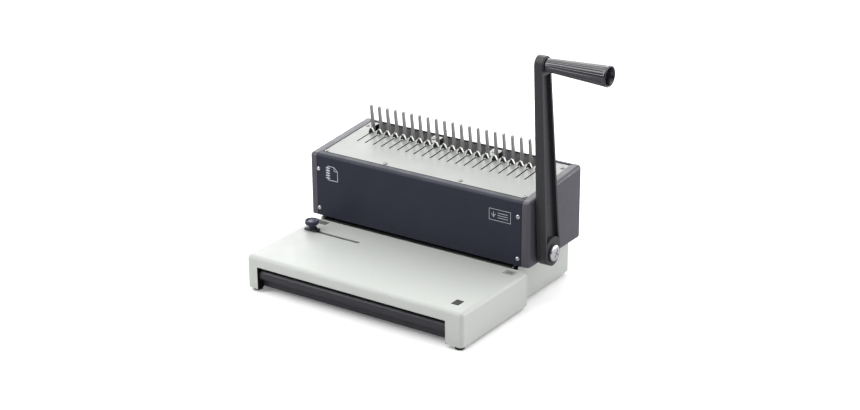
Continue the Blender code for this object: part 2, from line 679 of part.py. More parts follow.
def hook_rail():
    mesh = box_mesh("hook_rail", (-TROUGH_END, 88, RAIL_BOTTOM), (TROUGH_END, HOOK_REAR, RAIL_TOP))
    rail = add_object("hook_rail", mesh, steel(), (0, 94, RAIL_BOTTOM), top_frame)
    roof = [(-0.7, -6), (0.7, -6), (0.7, 4.6), (3.5, -0.6), (4.7, -0.6), (1.3, 6.4), (-1.3, 6.4),
            (-4.7, -0.6), (-3.5, -0.6), (-0.7, 4.6)]
    join(rail, prism_row("cut_hook_row", roof, "XZ", HOOK_FRONT, HOOK_REAR, top_frame))
    pin_s = (PIVOT_Y + HOOK_TRAVEL / 2 + RAIL_PIN_N * sin(TOP_TILT)) / cos(TOP_TILT)
    arm = box("cut_rail_arm", (ARM_LAYER[0], pin_s - 4, RAIL_PIN_N - 4),
              (-TROUGH_END + 2, HOOK_REAR, RAIL_TOP), parent=top_frame, group=cutters)
    pin = flat("cut_rail_pin", [circle(pin_s, RAIL_PIN_N, PIN_R, 12)], "YZ",
               ROCKER_LAYER[0] - 0.1, ARM_LAYER[0] + 1, parent=top_frame, group=cutters)
    join(rail, arm, pin)


# ---------------------------------------------------------------- lever, shafts and linkage

FRAME_FACE = FRAME_LEFT + FRAME_T
ROCKER_LAYER = (FRAME_FACE + 0.4, FRAME_FACE + 2.4)
ARM_LAYER = (FRAME_FACE + 2.8, FRAME_FACE + 5.2)
DOG_ANGLE = 200.0               # the dog's direction from +Y towards +Z when the lever is upright
DOG_HALF = 12.0
DOG_R = 12.0


def lever_arm():
    outline = bar_between((PIVOT_Y, PIVOT_Z), PIVOT_ROUND, (LEVER_TOP_Y, LEVER_TOP_Z),
                          LEVER_TOP_ROUND, 8)
    high = LEVER_INNER + LEVER_THICK
    mesh = flat_mesh("lever_arm", [outline], "YZ", LEVER_INNER, high)
    taper_to_top(mesh)
    lever = add_object("lever_arm", mesh, lever_plastic(), (LEVER_INNER, PIVOT_Y, PIVOT_Z))
    lean = (LEVER_TOP_Y - PIVOT_Y) / (LEVER_TOP_Z - PIVOT_Z)
    flange = 3.4

    def half_width(z):
        rise = (z - PIVOT_Z) / (LEVER_TOP_Z - PIVOT_Z)
        return PIVOT_ROUND + (LEVER_TOP_ROUND - PIVOT_ROUND) * rise - flange

    def side(z, sign):
        return PIVOT_Y + (z - PIVOT_Z) * lean + sign * half_width(z), z

    low_z, top_z = PIVOT_Z + 20.0, LEVER_TOP_Z - 14.5
    channel = [*arc(PIVOT_Y, PIVOT_Z, 23.0, 138, 50, 6), side(low_z + 8, 1), side(top_z, 1),
               side(top_z, -1), side(low_z + 8, -1)]
    hollow = flat_mesh("cut_lever_channel", [channel], "YZ", LEVER_INNER + 9.7, high + 5)
    taper_to_top(hollow)
    cut(lever, add_object("cut_lever_channel", hollow, None, group=cutters))
    head = LEVER_INNER - LEVER_LEAN + LEVER_TOP_THICK
    join(lever, flat("cut_lever_boss", [circle(PIVOT_Y, PIVOT_Z, 13.4)], "YZ", high - 1,
                     high + BOLT_BOSS, group=cutters),
         flat("cut_lever_head", [circle(LEVER_TOP_Y, LEVER_TOP_Z, LEVER_TOP_ROUND - 0.9)], "YZ",
              head - 2, head + HEAD_FLANGE, group=cutters))
    reach = DOG_HALF + 1.5
    sector = ([(PIVOT_Y + 6.6 * cos(radians(a)), PIVOT_Z + 6.6 * sin(radians(a)))
               for a in range(int(DOG_ANGLE + OPEN_ANGLE + reach), int(DOG_ANGLE + 360 - reach), 8)]
              + arc(PIVOT_Y, PIVOT_Z, DOG_R + 0.6, DOG_ANGLE - reach, DOG_ANGLE + OPEN_ANGLE + reach, 12))
    bore = circle(PIVOT_Y, PIVOT_Z, ROD_R + GAP, 16)
    cut(lever, flat("cut_lever_dog", [sector], "YZ", LEVER_INNER - 2, LEVER_INNER + 5.6, group=cutters),
        flat("cut_lever_bore", [bore], "YZ", LEVER_INNER - 2, high + 5, group=cutters))


def taper_to_top(mesh):
    """Thin the lever evenly from its pivot to its top, and lean it inwards."""
    for vert in mesh.vertices:
        rise = (vert.co.z - PIVOT_Z) / (LEVER_TOP_Z - PIVOT_Z)
        thin = 1 + (LEVER_TOP_THICK / LEVER_THICK - 1) * rise
        vert.co.x = LEVER_INNER + (vert.co.x - LEVER_INNER) * thin - LEVER_LEAN * rise


def lever_grip():
    root, end = LEVER_INNER - LEVER_LEAN + LEVER_TOP_THICK + HEAD_FLANGE + GAP, GRIP_END
    wall, depth = 2.3, 78.0
    widening = (GRIP_END_R - GRIP_ROOT_R) / (end - root)
    inner_root = GRIP_ROOT_R + widening * (end - depth - root) - wall
    profile = [(0, end - depth), (inner_root, end - depth), (GRIP_END_R - wall, end - 0.6),
               (GRIP_END_R - 1.6, end), (GRIP_END_R - 0.7, end), (GRIP_END_R, end - 0.8),
               (GRIP_END_R, end - 2.4), (GRIP_END_R - 0.5, end - 3.2), (GRIP_ROOT_R, root + 0.8),
               (GRIP_ROOT_R - 0.8, root), (0, root)]
    turned("lever_grip", profile, (0, LEVER_TOP_Y, LEVER_TOP_Z), "X", lever_plastic(), 32)


def pivot_hardware():
    face = LEVER_INNER + LEVER_THICK + BOLT_BOSS
    profile = [(0, face + 3.4), (8.0, face + 3.2), (10.6, face + 2.4), (11.5, face + 1.2),
               (11.5, face + GAP), (ROD_R - 0.4, face + GAP), (ROD_R - 0.4, face - 0.7), (0, face - 0.7)]
    turned("pivot_bolt", profile, (0, PIVOT_Y, PIVOT_Z), "X", chrome(), 24)
    ring = [circle(PIVOT_Y, PIVOT_Z, 14.0), circle(PIVOT_Y, PIVOT_Z, TUBE_R + 0.5)]
    flat("pivot_spacer", ring, "YZ", HOUSING_RIGHT + GAP, LEVER_INNER - GAP, black_plastic())


def opener_shaft():
    flat("opener_shaft", [circle(PIVOT_Y, PIVOT_Z, ROD_R, 16)], "YZ", FRAME_LEFT - 3.0,
         LEVER_INNER + LEVER_THICK + BOLT_BOSS - 1.0, steel(), origin=(0, PIVOT_Y, PIVOT_Z))
    swing = radians(90 + OPEN_ANGLE / 2)
    pin = (PIVOT_Y + CRANK_R * cos(swing), PIVOT_Z + CRANK_R * sin(swing))
    outline = bar_between((PIVOT_Y, PIVOT_Z), 8.5, pin, 3.6, 6)
    bore = circle(PIVOT_Y, PIVOT_Z, ROD_R + GAP, 16)
    crank = flat("opener_crank", [outline, bore], "YZ", *ARM_LAYER, steel(),
                 origin=(0, PIVOT_Y, PIVOT_Z))
    join(crank, flat("cut_crank_pin", [circle(*pin, PIN_R, 12)], "YZ", ROCKER_LAYER[0] - 0.1,
                     ARM_LAYER[0] + 1, group=cutters))


def opener_rocker():
    """Two-armed rocker, drawn upright and then turned to where it rests."""
    push, free = PIN_R + 1.4, 6.0
    lower = ROCKER_Z - PIVOT_Z - LINK_RISE
    nearest = RAIL_PIN_Z - ROCKER_Z
    farthest = hypot(HOOK_TRAVEL / 2, nearest + HOOK_TRAVEL / 2 * tan(TOP_TILT))
    half, wall = PIN_R + 1.2, 2.2
    slot_low, slot_high = nearest - PIN_R - 1.0, farthest + PIN_R + 0.7
    side, end = half + wall, slot_high + wall
    outline = [*arc(0, 0, 7.5, -20, 60, 4), (side, slot_low - wall), (side, end), (-side, end),
               (-side, slot_low - wall), *arc(0, 0, 7.5, 120, 240, 5), (push, -9), (push, -lower - 2),
               (push + 3, -lower - 4), (push + free, -lower - 2)]
    slot = round_rect(-half, slot_low, half, slot_high, 2.0, 3)
    mesh = flat_mesh("opener_rocker", [outline, slot, circle(0, 0, 3.3, 16)], "YZ", *ROCKER_LAYER)
    mesh.transform(Matrix.Rotation(-ROCKER_ANGLE, 4, "X"))
    mesh.transform(Matrix.Translation(Vector((0, PIVOT_Y, ROCKER_Z))))
    add_object("opener_rocker", mesh, steel(), (0, PIVOT_Y, ROCKER_Z))


def rocker_stud():
    low, high = ROCKER_LAYER
    profile = [(0, high + 1.6), (5.0, high + 1.6), (5.0, high + GAP), (3.0, high + GAP),
               (3.0, low - 0.1), (0, low - 0.1)]
    turned("rocker_stud", profile, (0, PIVOT_Y, ROCKER_Z), "X", steel(), 16)


def punch_shaft():
    left, right = -146.0, LEVER_INNER + 5.2
    ring = [circle(PIVOT_Y, PIVOT_Z, TUBE_R), circle(PIVOT_Y, PIVOT_Z, TUBE_BORE)]
    tube = flat("punch_shaft", ring, "YZ", left, right, steel(), origin=(0, PIVOT_Y, PIVOT_Z))
    dog = (arc(PIVOT_Y, PIVOT_Z, TUBE_R - 0.7, DOG_ANGLE + DOG_HALF, DOG_ANGLE - DOG_HALF, 3)
           + arc(PIVOT_Y, PIVOT_Z, DOG_R, DOG_ANGLE - DOG_HALF, DOG_ANGLE + DOG_HALF, 4))
    join(tube, flat("cut_shaft_dog", [dog], "YZ", LEVER_INNER + 0.8, right, group=cutters))


def eccentric_centre():
    start = radians(180 - PUNCH_ANGLE / 2)
    return PIVOT_Y + ECCENTRIC * cos(start), PIVOT_Z + ECCENTRIC * sin(start)


def eccentrics():
    for side, x in zip(("left", "right"), YOKE_X):
        loops = [circle(*eccentric_centre(), ECCENTRIC_R, 32), circle(PIVOT_Y, PIVOT_Z, TUBE_R + GAP)]
        flat(f"eccentric_{side}", loops, "YZ", x - 3.5, x + 3.5, steel(),
             origin=(0, PIVOT_Y, PIVOT_Z))


def punch_bar():
    """Comb-shaped bar with one blade for each hole."""
    top, body, end = 93.0, 76.0, 148.0
    outline = [(end, top), (-end, top), (-end, body)]
    for x in COMB_X:
        half = PUNCH_W / 2
        outline += [(x - half, body), (x - half, PUNCH_TIP), (x + half, PUNCH_TIP),
                    (x + half, body)]
    outline.append((end, body))
    flat("punch_bar", [outline], "XZ", PUNCH_Y - PUNCH_T / 2, PUNCH_Y + PUNCH_T / 2, steel())
    box("punch_carrier", (-end, 3.0, body + 2), (end, PUNCH_Y - PUNCH_T / 2 - GAP, top), steel())


def punch_yokes():
    centre_y, centre_z = eccentric_centre()
    half = ECCENTRIC_R + 0.4
    slot_front = PIVOT_Y - ECCENTRIC - ECCENTRIC_R - 0.5
    slot_rear = centre_y + ECCENTRIC_R + 0.5
    wall = 4.0
    bottom, top = centre_z - half - 3.4, centre_z + half + wall
    front = PUNCH_Y + PUNCH_T / 2 + GAP
    outline = [(front, bottom + 16), (slot_front - wall, bottom + 14), (slot_front - wall, bottom),
               (slot_rear + wall, bottom), (slot_rear + wall, top), (front, top)]
    slot = round_rect(slot_front, centre_z - half, slot_rear, centre_z + half, 0.8, 1)
    for side, x in zip(("left", "right"), YOKE_X):
        flat(f"punch_yoke_{side}", [outline, slot], "YZ", x - 2, x + 2, steel())


base_cover()
inlays()
tray_release()
rear_base()
bottom_pan()
feet()
chip_tray()
edge_guide()
frame_sides()
tie_bar()
die_and_guide()
bearings()
end_caps()
housing_front()
housing_rear()
housing_floor()
top_plate()
comb_trough()
screws()
comb_fingers()
hook_rail()
lever_arm()
lever_grip()
pivot_hardware()
opener_shaft()
opener_rocker()
rocker_stud()
punch_shaft()
eccentrics()
punch_bar()
punch_yokes()
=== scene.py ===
"""Looks of the comb binding machine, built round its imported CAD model.

Lengths here are millimetres in the machine frame: X = 0 at the middle comb finger, Y = 0 at the
housing's front, Z = 0 on the table. The top frame (x, s, n) lies on the sloping top of the housing:
s runs up the slope to the rear and n stands on it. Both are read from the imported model.
"""
import json
from math import atan2, cos, pi, radians, sin

import bmesh
import bpy
from mathutils import Matrix, Vector


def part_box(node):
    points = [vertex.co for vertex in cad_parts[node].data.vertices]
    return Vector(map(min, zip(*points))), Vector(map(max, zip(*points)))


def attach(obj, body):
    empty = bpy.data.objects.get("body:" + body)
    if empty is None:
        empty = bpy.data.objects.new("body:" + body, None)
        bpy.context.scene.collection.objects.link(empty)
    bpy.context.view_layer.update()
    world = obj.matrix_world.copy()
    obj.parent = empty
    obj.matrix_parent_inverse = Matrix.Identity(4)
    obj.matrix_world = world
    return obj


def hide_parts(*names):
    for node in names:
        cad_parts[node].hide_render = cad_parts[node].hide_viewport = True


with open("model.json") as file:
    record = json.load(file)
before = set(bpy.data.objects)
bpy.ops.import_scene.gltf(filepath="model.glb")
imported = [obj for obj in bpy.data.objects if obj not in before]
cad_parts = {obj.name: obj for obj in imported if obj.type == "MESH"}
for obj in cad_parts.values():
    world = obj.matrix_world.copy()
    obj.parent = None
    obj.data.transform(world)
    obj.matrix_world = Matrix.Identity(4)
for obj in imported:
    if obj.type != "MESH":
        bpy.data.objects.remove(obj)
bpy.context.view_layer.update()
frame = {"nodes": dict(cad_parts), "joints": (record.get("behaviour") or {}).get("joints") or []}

MM = 0.001
COMB_PITCH = 14.2875            # 9/16 inch
COMB_X = [(i - 10) * COMB_PITCH for i in range(21)]
PLATE_FRONT, PLATE_TOP, PLATE_BOTTOM = 11.1, -1.0, -2.5      # the top plate in the top frame
HOOK_FRONT = 98.3               # front of the folded hooks, top frame
TROUGH_REAR, TROUGH_HALF = 136.4, 149.4      # rear edge and half width of the comb trough, top frame


def joint(name):
    return next(j for j in frame["joints"] if j["name"] == name)


def find_frames():
    """The machine frame and the top frame as matrices from millimetres to metres."""
    run = joint("hook_slide")["axis"]
    tilt = atan2(-run[2], -run[1])
    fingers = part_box("comb_fingers")
    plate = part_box("top_plate")[0]
    scale = Matrix.Scale(MM, 4)
    middle = (fingers[0].x + fingers[1].x) / 2
    machine = Matrix.Translation((middle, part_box("housing_front")[0].y, 0)) @ scale
    y = plate.y - (PLATE_FRONT * cos(tilt) - PLATE_TOP * sin(tilt)) * MM
    z = plate.z - (PLATE_FRONT * sin(tilt) + PLATE_BOTTOM * cos(tilt)) * MM
    top = Matrix.Translation((middle, y, z)) @ Matrix.Rotation(tilt, 4, "X") @ scale
    return machine, top


MACHINE, TOP = find_frames()


def span(node):
    """Lowest and highest corner of a CAD node in the machine frame."""
    back = MACHINE.inverted()
    low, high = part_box(node)
    return back @ low, back @ high


# ---------------------------------------------------------------- materials

def srgb(red, green, blue):
    """Linear colour from 0-255 display values."""
    values = [c / 255 for c in (red, green, blue)]
    return tuple(c / 12.92 if c <= 0.04045 else ((c + 0.055) / 1.055) ** 2.4 for c in values) + (1.0,)


def shade(colour, factor):
    return tuple(min(1.0, c * factor) for c in colour[:3]) + (1.0,)


class Surface:
    """A Principled material whose colour, roughness and bump vary over the object."""

    def __init__(self, name):
        self.material = bpy.data.materials.new(name)
        self.material.use_nodes = True
        self.tree = self.material.node_tree
        self.shader = self.tree.nodes["Principled BSDF"]
        self.place = self.node("ShaderNodeTexCoord").outputs["Object"]
        self.height = None

    def node(self, kind, **settings):
        made = self.tree.nodes.new(kind)
        for key, value in settings.items():
            if key in made.inputs:
                made.inputs[key].default_value = value
            else:
                setattr(made, key, value)
        return made

    def link(self, source, target):
        self.tree.links.new(source, target)

    def stretched(self, scale):
        mapping = self.node("ShaderNodeMapping")
        mapping.inputs["Scale"].default_value = scale
        self.link(self.place, mapping.inputs["Vector"])
        return mapping.outputs["Vector"]

    def noise(self, scale, detail=2.0, stretch=None):
        made = self.node("ShaderNodeTexNoise", Scale=scale, Detail=detail)
        self.link(self.stretched(stretch) if stretch else self.place, made.inputs["Vector"])
        return made.outputs["Fac"]

    def ramp(self, source, *stops):
        made = self.node("ShaderNodeValToRGB")
        band = made.color_ramp.elements
        while len(band) < len(stops):
            band.new(0.5)
        for element, (place, colour) in zip(band, stops):
            element.position = place
            element.color = colour
        self.link(source, made.inputs["Fac"])
        return made.outputs["Color"]

    def spread(self, source, low, high):
        made = self.node("ShaderNodeMapRange")
        made.inputs["From Min"].default_value = 0.3
        made.inputs["From Max"].default_value = 0.7
        made.inputs["To Min"].default_value = low
        made.inputs["To Max"].default_value = high
        self.link(source, made.inputs["Value"])
        return made.outputs["Result"]

    def base(self, colour, vary=0.04, scale=18.0, stretch=None):
        """Colour with a soft cloudy variation of a few per cent."""
        mix = self.ramp(self.noise(scale, 3.0, stretch), (0.3, shade(colour, 1 - vary)),
                        (0.7, shade(colour, 1 + vary)))
        self.link(mix, self.shader.inputs["Base Color"])
        return self

    def rough(self, low, high, scale=40.0, stretch=None):
        spread = self.spread(self.noise(scale, 2.0, stretch), low, high)
        self.link(spread, self.shader.inputs["Roughness"])
        return self

    def bump(self, source, depth, strength=1.0):
        """Adds a relief of the given depth in millimetres on top of the ones before it."""
        made = self.node("ShaderNodeBump")
        made.inputs["Strength"].default_value = strength
        made.inputs["Distance"].default_value = depth * MM
        self.link(source, made.inputs["Height"])
        if self.height is not None:
            self.link(self.height, made.inputs["Normal"])
        self.height = made.outputs["Normal"]
        self.link(self.height, self.shader.inputs["Normal"])
        return self

    def set(self, **values):
        for key, value in values.items():
            self.shader.inputs[key.replace("_", " ")].default_value = value
        return self


def cover_grey():
    """Light grey moulding with a fine spark-eroded texture."""
    made = Surface("cover_grey_plastic").base(srgb(182, 185, 181), 0.012, 9.0)
    made.rough(0.40, 0.52, 60.0)
    return made.bump(made.noise(1500.0, 2.0), 0.03, 0.5).set(IOR=1.5).material


def housing_paint():
    """Dark blue-grey powder coat with its fine orange peel."""
    made = Surface("housing_powder_coat").base(srgb(25, 29, 48), 0.05, 14.0)
    made.rough(0.40, 0.50, 50.0)
    made.bump(made.noise(700.0, 3.0), 0.06, 0.5)
    return made.set(Specular_IOR_Level=0.4).material


def cap_plastic():
    """Moulding of the end caps, dyed to go with the powder coat and a little glossier."""
    made = Surface("end_cap_plastic").base(srgb(71, 70, 78), 0.04, 16.0)
    made.rough(0.34, 0.44, 60.0)
    made.bump(made.noise(1000.0, 3.0), 0.04, 0.5)
    return made.set(IOR=1.5).material


def lever_plastic():
    made = Surface("lever_glass_filled_plastic").base(srgb(39, 38, 43), 0.05, 30.0)
    made.rough(0.38, 0.50, 80.0)
    return made.bump(made.noise(900.0, 3.0), 0.05, 0.6).set(IOR=1.5).material


def grip_plastic():
    made = Surface("grip_plastic").base(srgb(34, 33, 42), 0.05, 40.0)
    made.rough(0.14, 0.22, 90.0, (0.15, 1, 1))
    made.bump(made.noise(500.0, 2.0, (0.1, 1, 1)), 0.03, 0.5)
    return made.set(IOR=1.5, Coat_Weight=0.7, Coat_Roughness=0.12).material


def black_plastic():
    made = Surface("black_plastic").base(srgb(30, 30, 32), 0.08, 60.0)
    made.rough(0.42, 0.55, 80.0)
    return made.bump(made.noise(1400.0, 2.0), 0.03, 0.5).material


def tray_plastic():
    made = Surface("tray_plastic").base(srgb(46, 45, 51), 0.05, 30.0, (0.2, 1, 1))
    made.rough(0.36, 0.48, 60.0)
    return made.bump(made.noise(1100.0, 2.0), 0.04, 0.5).material


def knob_plastic():
    made = Surface("knob_navy_plastic").base(srgb(34, 36, 60), 0.06, 90.0)
    made.rough(0.26, 0.36, 120.0)
    return made.bump(made.noise(1500.0, 2.0), 0.02, 0.4).material


def knob_cap_plastic():
    made = Surface("knob_cap_plastic").base(srgb(58, 60, 86), 0.05, 90.0)
    return made.rough(0.3, 0.4, 120.0).material


def inlay_plastic(name, colour):
    made = Surface(name).base(colour, 0.10, 400.0)
    made.rough(0.45, 0.60, 120.0)
    return made.bump(made.noise(1800.0, 2.0), 0.04, 0.7).material


def foot_rubber():
    made = Surface("foot_rubber").base(srgb(38, 38, 40), 0.15, 90.0)
    made.rough(0.75, 0.9, 100.0)
    return made.bump(made.noise(900.0, 3.0), 0.08, 0.7).material


def plate_paint():
    """Light grey lacquer on a sheet, glossy enough to mirror the fingers softly."""
    made = Surface("top_plate_lacquer").base(srgb(142, 145, 141), 0.015, 30.0)
    made.rough(0.28, 0.36, 40.0)
    return made.bump(made.noise(900.0, 2.0), 0.01, 0.3).set(IOR=1.5).material


def steel(name="mechanism_steel", colour=(165, 166, 168), low=0.28, high=0.42, grain=(1, 1, 0.05)):
    """Rolled or brushed steel; grain is the stretch of its brushing along each axis."""
    made = Surface(name).base(srgb(*colour), 0.06, 60.0, grain)
    made.rough(low, high, 300.0, grain)
    return made.bump(made.noise(2500.0, 2.0, grain), 0.01, 0.5).set(Metallic=1.0).material


def chrome(name="bright_plating", colour=(226, 226, 230)):
    made = Surface(name).base(srgb(*colour), 0.02, 200.0)
    made.rough(0.10, 0.20, 260.0)
    return made.bump(made.noise(1500.0, 1.0), 0.005, 0.4).set(Metallic=1.0).material


def bronze():
    made = Surface("sintered_bronze").base(srgb(150, 112, 66), 0.15, 300.0)
    made.rough(0.40, 0.55, 200.0)
    return made.bump(made.noise(1600.0, 3.0), 0.03, 0.7).set(Metallic=1.0).material


def print_ink():
    made = Surface("pale_grey_print").base(srgb(196, 198, 208), 0.08, 900.0)
    return made.rough(0.45, 0.6, 300.0).material


def painted_shade_black():
    """Black painted shade for the cut edges of the top plate and the walls of its slots, also used on the
    cover's left leg and the strip at the plate's front.
    """
    made = Surface("painted_shade_black").base(srgb(22, 22, 24), 0.08, 90.0)
    return made.rough(0.7, 0.85, 120.0).set(Specular_IOR_Level=0.1).material


def floor_paper():
    """White paper that looks a little brighter directly and darker in the object's reflections."""
    made = Surface("studio_paper")
    rays = made.node("ShaderNodeLightPath")
    tone = made.node("ShaderNodeMix", data_type="RGBA")
    made.link(rays.outputs["Is Glossy Ray"], tone.inputs["Factor"])
    first, second, mixed = tone.inputs[6], tone.inputs[7], tone.outputs[2]      # its colour sockets
    first.default_value = srgb(250, 250, 250)
    second.default_value = srgb(*FLOOR_REFLECTED)
    made.link(mixed, made.shader.inputs["Base Color"])
    glow = made.node("ShaderNodeMath", operation="MULTIPLY")
    made.link(rays.outputs["Is Camera Ray"], glow.inputs[0])
    glow.inputs[1].default_value = FLOOR_GLOW
    made.link(glow.outputs["Value"], made.shader.inputs["Emission Strength"])
    made.rough(0.8, 0.95, 20.0)
    return made.set(Specular_IOR_Level=0.1, Emission_Color=(1.0, 1.0, 1.0, 1.0)).material


# ---------------------------------------------------------------- mesh tools

ALONG_X = Matrix(((0, 0, 1, 0), (1, 0, 0, 0), (0, 1, 0, 0), (0, 0, 0, 1)))     # (y, z, x) to (x, y, z)
OUT_OF_PANEL = Matrix.Rotation(pi / 2, 4, "X")                                # (x, z, outwards)


def arc(u, v, radius, start, stop, steps):
    angles = [radians(start + (stop - start) * i / steps) for i in range(steps + 1)]
    return [(u + radius * cos(a), v + radius * sin(a)) for a in angles]


def rounded(u0, v0, u1, v1, radius, steps=4):
    """Rectangle with round corners, anticlockwise."""
    a, b, c, d = u0 + radius, v0 + radius, u1 - radius, v1 - radius
    return (arc(a, b, radius, 180, 270, steps) + arc(c, b, radius, 270, 360, steps)
            + arc(c, d, radius, 0, 90, steps) + arc(a, d, radius, 90, 180, steps))


def prism(bm, outline, low, high, place=Matrix()):
    """Extrudes an outline from one height to another."""
    floor = [bm.verts.new(place @ Vector((u, v, low))) for u, v in outline]
    roof = [bm.verts.new(place @ Vector((u, v, high))) for u, v in outline]
    bm.faces.new(reversed(floor))
    bm.faces.new(roof)
    for i in range(len(outline)):
        j = (i + 1) % len(outline)
        bm.faces.new((floor[i], floor[j], roof[j], roof[i]))


def lathe(bm, profile, steps, place=Matrix(), relief=None):
    """Revolves (radius, height) points; relief(angle, height) adds to the radius."""
    rings = []
    for radius, height in profile:
        if radius < 1e-6:
            rings.append([bm.verts.new(place @ Vector((0, 0, height)))])
            continue
        ring = []
        for i in range(steps):
            turn = 2 * pi * i / steps
            reach = radius + (relief(turn, height) if relief else 0)
            ring.append(bm.verts.new(place @ Vector((reach * cos(turn), reach * sin(turn), height))))
        rings.append(ring)
    for low, high in zip(rings, rings[1:]):
        for i in range(steps):
            j = (i + 1) % steps
            corners = (low[i % len(low)], low[j % len(low)], high[j % len(high)], high[i % len(high)])
            bm.faces.new(list(dict.fromkeys(corners)))


def carved(solid, cutter):
    """The first bmesh less the second."""
    objects = []
    for bm in (solid, cutter):
        bmesh.ops.recalc_face_normals(bm, faces=bm.faces)
        mesh = bpy.data.meshes.new("carving")
        bm.to_mesh(mesh)
        bm.free()
        made = bpy.data.objects.new("carving", mesh)
        bpy.context.scene.collection.objects.link(made)
        objects.append(made)
    carve = objects[0].modifiers.new("carve", "BOOLEAN")
    carve.operation = "DIFFERENCE"
    carve.solver = "EXACT"
    carve.object = objects[1]
    shown = objects[0].evaluated_get(bpy.context.evaluated_depsgraph_get())
    result = bmesh.new()
    result.from_mesh(shown.to_mesh())
    shown.to_mesh_clear()
    for made in objects:
        bpy.data.objects.remove(made, do_unlink=True)
    return result


def add_piece(name, bm, space, material, body, replaces=(), edge=0.0, angle=35):
    """Makes a bmesh drawn in millimetres into a piece that rides on a CAD body."""
    bmesh.ops.transform(bm, matrix=space, verts=bm.verts)
    bmesh.ops.recalc_face_normals(bm, faces=bm.faces)
    mesh = bpy.data.meshes.new(name)
    bm.to_mesh(mesh)
    bm.free()
    mesh.materials.append(material)
    mesh.shade_smooth()
    mesh.set_sharp_from_angle(angle=radians(angle))
    piece = bpy.data.objects.new(name, mesh)
    bpy.context.scene.collection.objects.link(piece)
    if edge:
        soften(piece, edge, 2, angle)
    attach(piece, body)
    if replaces:
        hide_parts(*replaces)
    return piece


def soften(piece, edge, segments, angle):
    """Rounds the sharp edges a little and keeps the flat faces flat."""
    bevel = piece.modifiers.new("edges", "BEVEL")
    bevel.width = edge * MM
    bevel.segments = segments
    bevel.limit_method = "ANGLE"
    bevel.angle_limit = radians(angle)
    bevel.miter_outer = "MITER_ARC"
    weighted = piece.modifiers.new("even_normals", "WEIGHTED_NORMAL")
    weighted.weight = 100


# ---------------------------------------------------------------- CAD nodes that stay

def refine(material, edge, *names, segments=2, angle=30):
    """Gives CAD nodes their material and small rounded edges."""
    for name in names:
        node = frame["nodes"][name]
        node.data.materials.clear()
        node.data.materials.append(material)
        node.data.shade_smooth()
        weld = node.modifiers.new("weld", "WELD")
        weld.merge_threshold = 1e-6
        flatten = node.modifiers.new("flatten", "DECIMATE")
        flatten.decimate_type = "DISSOLVE"
        flatten.angle_limit = radians(0.5)
        soften(node, edge, segments, angle)


FACING = 0.7                    # least cosine between a face and the direction it is said to face
LEG_INNER_SIDE = -0.1           # metres; the right-facing walls of the cover's left leg lie left of it


def paint_leg_shade():
    """Black painted shade on the inner side of the cover's left leg, behind the tray bar's end."""
    node = frame["nodes"]["base_cover"]
    node.data.materials.append(painted_shade_black())
    turned = node.matrix_world.to_3x3()
    for face in node.data.polygons:
        faces_right = (turned @ face.normal).x > FACING
        if faces_right and (node.matrix_world @ face.center).x < LEG_INNER_SIDE:
            face.material_index = 1


def dress_plate():
    """Lacquer on the top plate, with black painted shade on its cut edges and slot walls."""
    node = frame["nodes"]["top_plate"]
    node.data.materials.clear()
    node.data.materials.append(plate_paint())
    node.data.materials.append(painted_shade_black())
    up = (TOP.to_3x3() @ Vector((0, 0, 1))).normalized()
    turned = node.matrix_world.to_3x3()
    for face in node.data.polygons:
        upright = abs((turned @ face.normal).normalized().dot(up)) < FACING
        face.material_index = int(upright)
    node.data.shade_flat()


def dress_cad_nodes():
    refine(cover_grey(), 0.5, "base_cover", "rear_base", segments=3)
    paint_leg_shade()
    refine(housing_paint(), 0.35, "housing_front", "housing_rear", "housing_floor")
    refine(cap_plastic(), 0.5, "end_cap_left", "end_cap_right")
    refine(lever_plastic(), 1.1, "lever_arm", segments=3)
    refine(tray_plastic(), 0.4, "chip_tray", "tray_front")
    refine(black_plastic(), 0.3, "edge_guide", "pivot_spacer")
    refine(inlay_plastic("trough_grey", srgb(50, 49, 54)), 0.3, "comb_trough")
    refine(foot_rubber(), 0.4, "foot_front_left", "foot_front_right", "foot_rear_left", "foot_rear_right")
    dress_plate()
    refine(steel(), 0.0, "punch_guide", "punch_bar")      # a sliding fit, so their edges stay sharp
    refine(steel(), 0.15, "bottom_pan", "frame_side_left", "frame_side_right", "frame_tie_bar",
           "die_plate", "punch_carrier", "punch_yoke_left", "punch_yoke_right", "eccentric_left",
           "eccentric_right", "punch_shaft", "opener_shaft", "opener_crank", "opener_rocker",
           "rocker_stud")
    refine(bronze(), 0.2, "shaft_bearing_left", "shaft_bearing_right")
    refine(steel("comb_steel", (162, 162, 160), 0.36, 0.48), 0.5, "comb_fingers")
    refine(steel("hook_steel", (168, 168, 166), 0.3, 0.42), 0.2, "hook_rail")
    refine(black_plastic(), 0.4, "tray_release_button")
    refine(inlay_plastic("inlay_dark", srgb(92, 92, 90)), 0.2, "scale_inlay_left")
    refine(inlay_plastic("inlay_grey", srgb(150, 151, 148)), 0.2, "scale_inlay_right")


# ---------------------------------------------------------------- pieces that stand for CAD nodes

def cross_cutter(place, arm, width, deep, top):
    """A cross-shaped plug that cuts the recess of a cross-head screw."""
    half = width / 2
    quarter = [(half, half), (half, arm), (-half, arm)]
    outline = [(u * cos(turn) - v * sin(turn), u * sin(turn) + v * cos(turn))
               for turn in (0, pi / 2, pi, 3 * pi / 2) for u, v in quarter]
    bm = bmesh.new()
    prism(bm, outline, top - deep, top + 0.5, place)
    bmesh.ops.recalc_face_normals(bm, faces=bm.faces)
    return bm


def screw_mesh():
    """Pan-head screw, 6.4 mm across, its washer face at height 0."""
    bm = bmesh.new()
    lathe(bm, [(0, 1.5), (0.9, 1.48), (1.8, 1.36), (2.5, 1.1), (2.95, 0.72), (3.15, 0.35), (3.2, 0.1),
               (1.4, 0.1), (1.4, -4.0), (0, -4.0)], 32)
    return carved(bm, cross_cutter(Matrix(), 1.75, 0.75, 1.1, 1.5))


